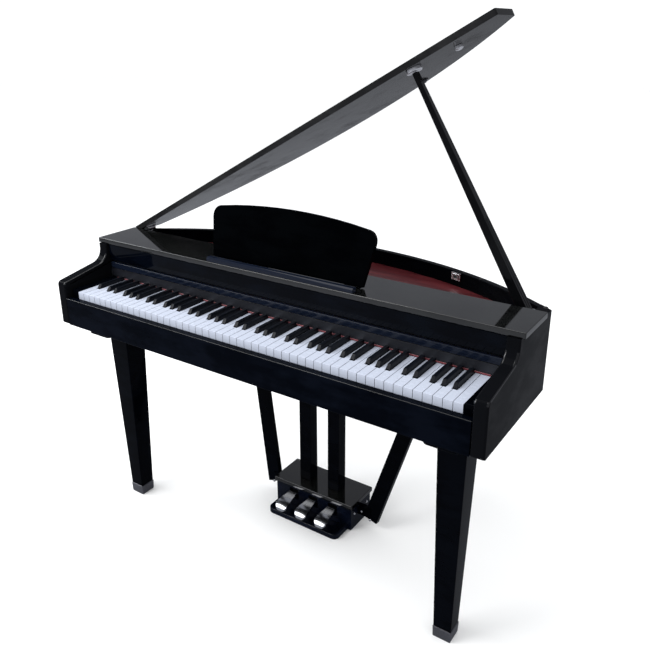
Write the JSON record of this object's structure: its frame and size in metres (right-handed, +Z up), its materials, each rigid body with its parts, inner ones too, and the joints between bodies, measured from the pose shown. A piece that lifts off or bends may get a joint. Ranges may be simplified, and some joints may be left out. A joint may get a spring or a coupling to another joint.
{
  "type": "digital grand piano",
  "caption": "Digital grand piano: shallow bow-backed case, propped lid, folding music desk, sliding key cover, full keyboard, tapered legs and a braced pedal lyre.",
  "frame": {"origin": "middle of the piano's footprint, on the floor", "axes": "+X to the player's right along the keys, +Y from the keys towards the bowed back, +Z up"},
  "size_m": [1.3617, 0.6442, 1.5051],
  "materials": {
    "black_lacquer": "black high-gloss lacquer",
    "crimson_board": "satin crimson paint",
    "bare_wood": "bare",
    "pressed_steel": "zinc plated",
    "white_key_plastic": "satin gloss",
    "black_key_plastic": "matt",
    "red_felt": "pressed felt",
    "dark_strip": "matt",
    "chrome": "polished",
    "brushed_steel": "brushed",
    "black_rubber": "matt",
    "speaker_black": "matt",
    "circuit_green": "satin",
    "satin_blue_black": "satin"
  },
  "bodies": {
    "case": {"side_left": "black_lacquer", "side_right": "black_lacquer", "rear_rim": "black_lacquer", "bottom_board": "black_lacquer", "key_slip": "black_lacquer", "cheek_left": "black_lacquer", "cheek_right": "black_lacquer", "nameboard": "black_lacquer", "top_board": "black_lacquer", "leg_left": "black_lacquer", "leg_right": "black_lacquer", "leg_plate_left": "black_lacquer", "leg_plate_right": "black_lacquer", "pedal_box": "black_lacquer", "pedal_box_top": "black_lacquer", "pedal_tray": "black_lacquer", "lyre": "black_lacquer", "strut_left": "black_lacquer", "strut_right": "black_lacquer", "soundboard": "crimson_board", "belly_rail": "bare_wood", "key_frame": "pressed_steel", "prop_bracket": "pressed_steel", "name_felt": "red_felt", "key_strip": "dark_strip", "desk_hinge_left": "chrome", "desk_hinge_right": "chrome", "lid_hinge_base": "chrome", "rim_catch": "chrome", "leg_cap_left": "brushed_steel", "leg_cap_right": "brushed_steel", "speaker_left": "speaker_black", "speaker_right": "speaker_black", "main_board": "circuit_green", "music_ledge": "satin_blue_black"},
    "key_cover": {"key_cover_rail": "satin_blue_black", "key_cover_sheet": "dark_strip"},
    "music_desk": {"music_desk": "black_lacquer"},
    "lid": {"lid": "black_lacquer", "lid_knob": "black_rubber", "prop_cup": "chrome", "lid_hinge_leaf": "chrome"},
    "prop": {"prop": "black_lacquer"},
    "pedal_left": {"pedal_left": "chrome"},
    "pedal_middle": {"pedal_middle": "chrome"},
    "pedal_right": {"pedal_right": "chrome"},
    "white_keys_1": {"white_keys_1": "white_key_plastic"},
    "black_keys_1": {"black_keys_1": "black_key_plastic"},
    "white_keys_2": {"white_keys_2": "white_key_plastic"},
    "black_keys_2": {"black_keys_2": "black_key_plastic"},
    "white_keys_3": {"white_keys_3": "white_key_plastic"},
    "black_keys_3": {"black_keys_3": "black_key_plastic"},
    "white_keys_4": {"white_keys_4": "white_key_plastic"},
    "black_keys_4": {"black_keys_4": "black_key_plastic"},
    "white_keys_5": {"white_keys_5": "white_key_plastic"},
    "black_keys_5": {"black_keys_5": "black_key_plastic"},
    "white_keys_6": {"white_keys_6": "white_key_plastic"},
    "black_keys_6": {"black_keys_6": "black_key_plastic"},
    "white_keys_7": {"white_keys_7": "white_key_plastic"},
    "black_keys_7": {"black_keys_7": "black_key_plastic"}
  },
  "joints": [
    {"name": "white_keys_1_pivot", "type": "hinge", "parent": "case", "child": "white_keys_1", "pos_m": [0, -0.04505, 0.7135], "axis": [1, 0, 0], "range_deg": [0, 2.2], "stiffness_Nm_per_rad": 6, "springref_deg": -20.05},
    {"name": "white_keys_2_pivot", "type": "hinge", "parent": "case", "child": "white_keys_2", "pos_m": [0, -0.04505, 0.7135], "axis": [1, 0, 0], "range_deg": [0, 2.2], "stiffness_Nm_per_rad": 6, "springref_deg": -20.05},
    {"name": "white_keys_3_pivot", "type": "hinge", "parent": "case", "child": "white_keys_3", "pos_m": [0, -0.04505, 0.7135], "axis": [1, 0, 0], "range_deg": [0, 2.2], "stiffness_Nm_per_rad": 6, "springref_deg": -20.05},
    {"name": "white_keys_4_pivot", "type": "hinge", "parent": "case", "child": "white_keys_4", "pos_m": [0, -0.04505, 0.7135], "axis": [1, 0, 0], "range_deg": [0, 2.2], "stiffness_Nm_per_rad": 6, "springref_deg": -20.05},
    {"name": "white_keys_5_pivot", "type": "hinge", "parent": "case", "child": "white_keys_5", "pos_m": [0, -0.04505, 0.7135], "axis": [1, 0, 0], "range_deg": [0, 2.2], "stiffness_Nm_per_rad": 6, "springref_deg": -20.05},
    {"name": "white_keys_6_pivot", "type": "hinge", "parent": "case", "child": "white_keys_6", "pos_m": [0, -0.04505, 0.7135], "axis": [1, 0, 0], "range_deg": [0, 2.2], "stiffness_Nm_per_rad": 6, "springref_deg": -20.05},
    {"name": "white_keys_7_pivot", "type": "hinge", "parent": "case", "child": "white_keys_7", "pos_m": [0, -0.04505, 0.7135], "axis": [1, 0, 0], "range_deg": [0, 2.2], "stiffness_Nm_per_rad": 6, "springref_deg": -20.05},
    {"name": "black_keys_1_pivot", "type": "hinge", "parent": "case", "child": "black_keys_1", "pos_m": [0, -0.01455, 0.7135], "axis": [1, 0, 0], "range_deg": [0, 2.4], "stiffness_Nm_per_rad": 4, "springref_deg": -17.19},
    {"name": "black_keys_2_pivot", "type": "hinge", "parent": "case", "child": "black_keys_2", "pos_m": [0, -0.01455, 0.7135], "axis": [1, 0, 0], "range_deg": [0, 2.4], "stiffness_Nm_per_rad": 4, "springref_deg": -17.19},
    {"name": "black_keys_3_pivot", "type": "hinge", "parent": "case", "child": "black_keys_3", "pos_m": [0, -0.01455, 0.7135], "axis": [1, 0, 0], "range_deg": [0, 2.4], "stiffness_Nm_per_rad": 4, "springref_deg": -17.19},
    {"name": "black_keys_4_pivot", "type": "hinge", "parent": "case", "child": "black_keys_4", "pos_m": [0, -0.01455, 0.7135], "axis": [1, 0, 0], "range_deg": [0, 2.4], "stiffness_Nm_per_rad": 4, "springref_deg": -17.19},
    {"name": "black_keys_5_pivot", "type": "hinge", "parent": "case", "child": "black_keys_5", "pos_m": [0, -0.01455, 0.7135], "axis": [1, 0, 0], "range_deg": [0, 2.4], "stiffness_Nm_per_rad": 4, "springref_deg": -17.19},
    {"name": "black_keys_6_pivot", "type": "hinge", "parent": "case", "child": "black_keys_6", "pos_m": [0, -0.01455, 0.7135], "axis": [1, 0, 0], "range_deg": [0, 2.4], "stiffness_Nm_per_rad": 4, "springref_deg": -17.19},
    {"name": "black_keys_7_pivot", "type": "hinge", "parent": "case", "child": "black_keys_7", "pos_m": [0, -0.01455, 0.7135], "axis": [1, 0, 0], "range_deg": [0, 2.4], "stiffness_Nm_per_rad": 4, "springref_deg": -17.19},
    {"name": "key_cover_slide", "type": "slide", "parent": "case", "child": "key_cover", "axis": [0, -0.9824, -0.1867], "range_m": [0, 0.15]},
    {"name": "lid_hinge", "type": "hinge", "parent": "case", "child": "lid", "pos_m": [-0.676, 0.02245, 0.844], "axis": [0, -1, 0], "range_deg": [0, 12]},
    {"name": "prop_pivot", "type": "hinge", "parent": "case", "child": "prop", "pos_m": [0.6226, 0.02745, 0.831], "axis": [0, -1, 0], "range_deg": [0, 59.3]},
    {"name": "music_desk_hinge", "type": "hinge", "parent": "case", "child": "music_desk", "pos_m": [0, -0.10093, 0.8617], "axis": [-1, 0, 0], "range_deg": [0, 75]},
    {"name": "pedal_left_pivot", "type": "hinge", "parent": "case", "child": "pedal_left", "pos_m": [-0.074, 0.10345, 0.048], "axis": [1, 0, 0], "range_deg": [0, 4.5], "stiffness_Nm_per_rad": 15, "springref_deg": -6.88},
    {"name": "pedal_middle_pivot", "type": "hinge", "parent": "case", "child": "pedal_middle", "pos_m": [0, 0.10345, 0.048], "axis": [1, 0, 0], "range_deg": [0, 4.5], "stiffness_Nm_per_rad": 15, "springref_deg": -6.88},
    {"name": "pedal_right_pivot", "type": "hinge", "parent": "case", "child": "pedal_right", "pos_m": [0.074, 0.10345, 0.048], "axis": [1, 0, 0], "range_deg": [0, 4.5], "stiffness_Nm_per_rad": 15, "springref_deg": -6.88}
  ]
}
